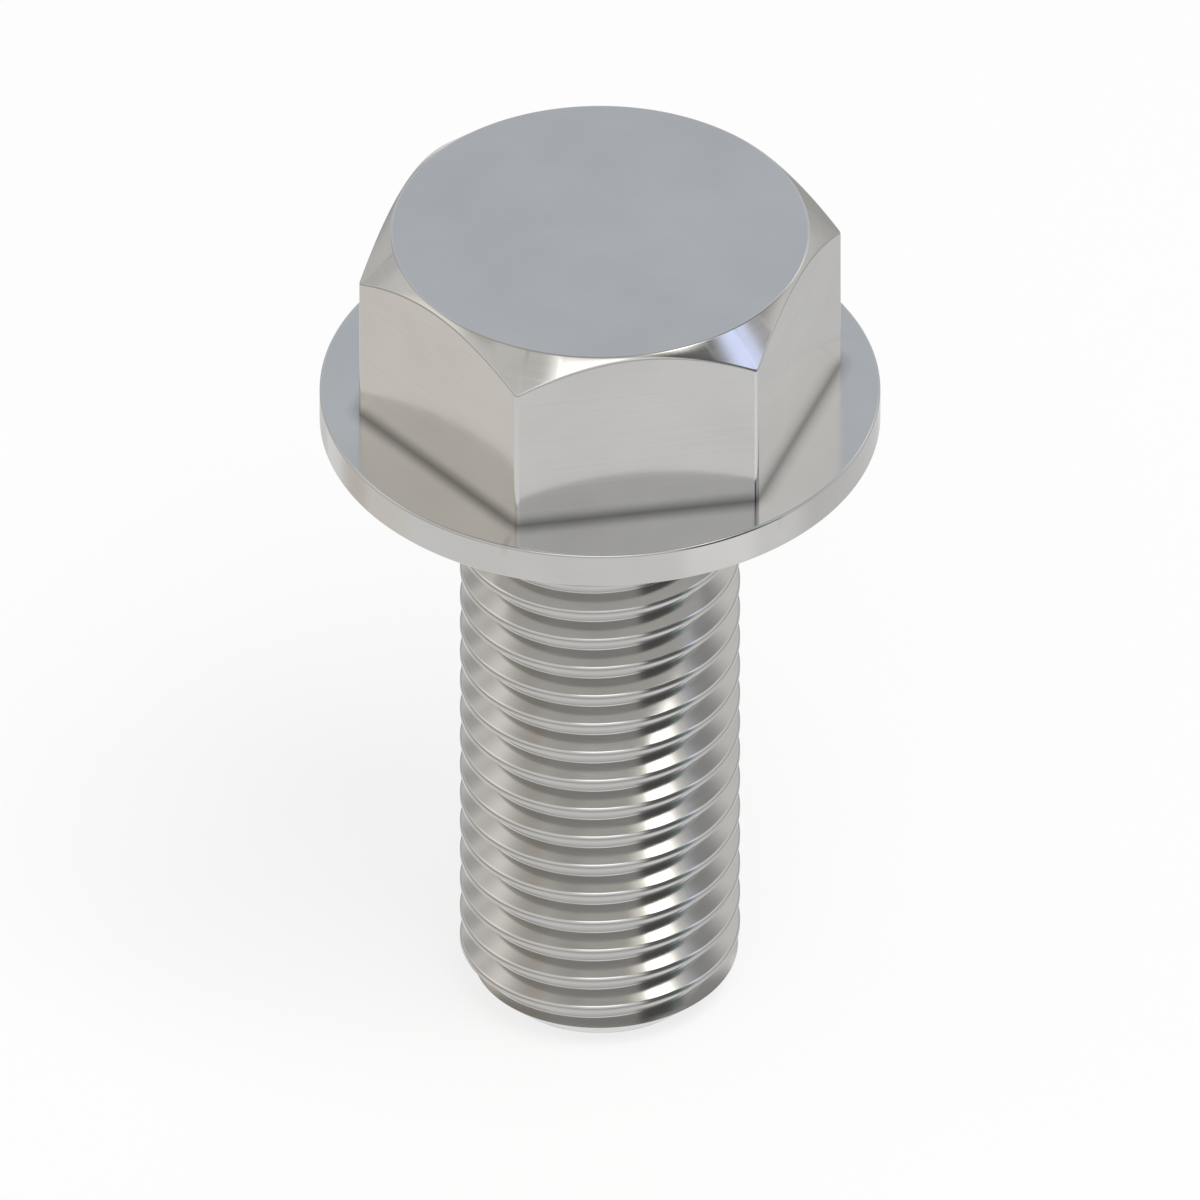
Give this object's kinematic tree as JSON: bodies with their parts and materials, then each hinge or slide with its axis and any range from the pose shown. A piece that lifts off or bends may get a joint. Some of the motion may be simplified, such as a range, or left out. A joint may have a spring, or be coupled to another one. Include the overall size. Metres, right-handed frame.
{
  "type": "flange bolt",
  "caption": "Hexagon-head bolt with a round flange under the head and a metric thread running from a chamfered flat end up to a short neck.",
  "frame": {"origin": "centre of the bearing face, which is the underside of the flange, on the bolt's axis", "axes": "+Z along the bolt's axis from the thread end to the head; -Y looks out of the middle of one hexagon face"},
  "size_m": [0.0317, 0.0316, 0.0522],
  "materials": {
    "steel": "bright bare steel, satin on the flats, glossier on the thread"
  },
  "bodies": {
    "root": {"flange_bolt": "steel"}
  },
  "joints": []
}
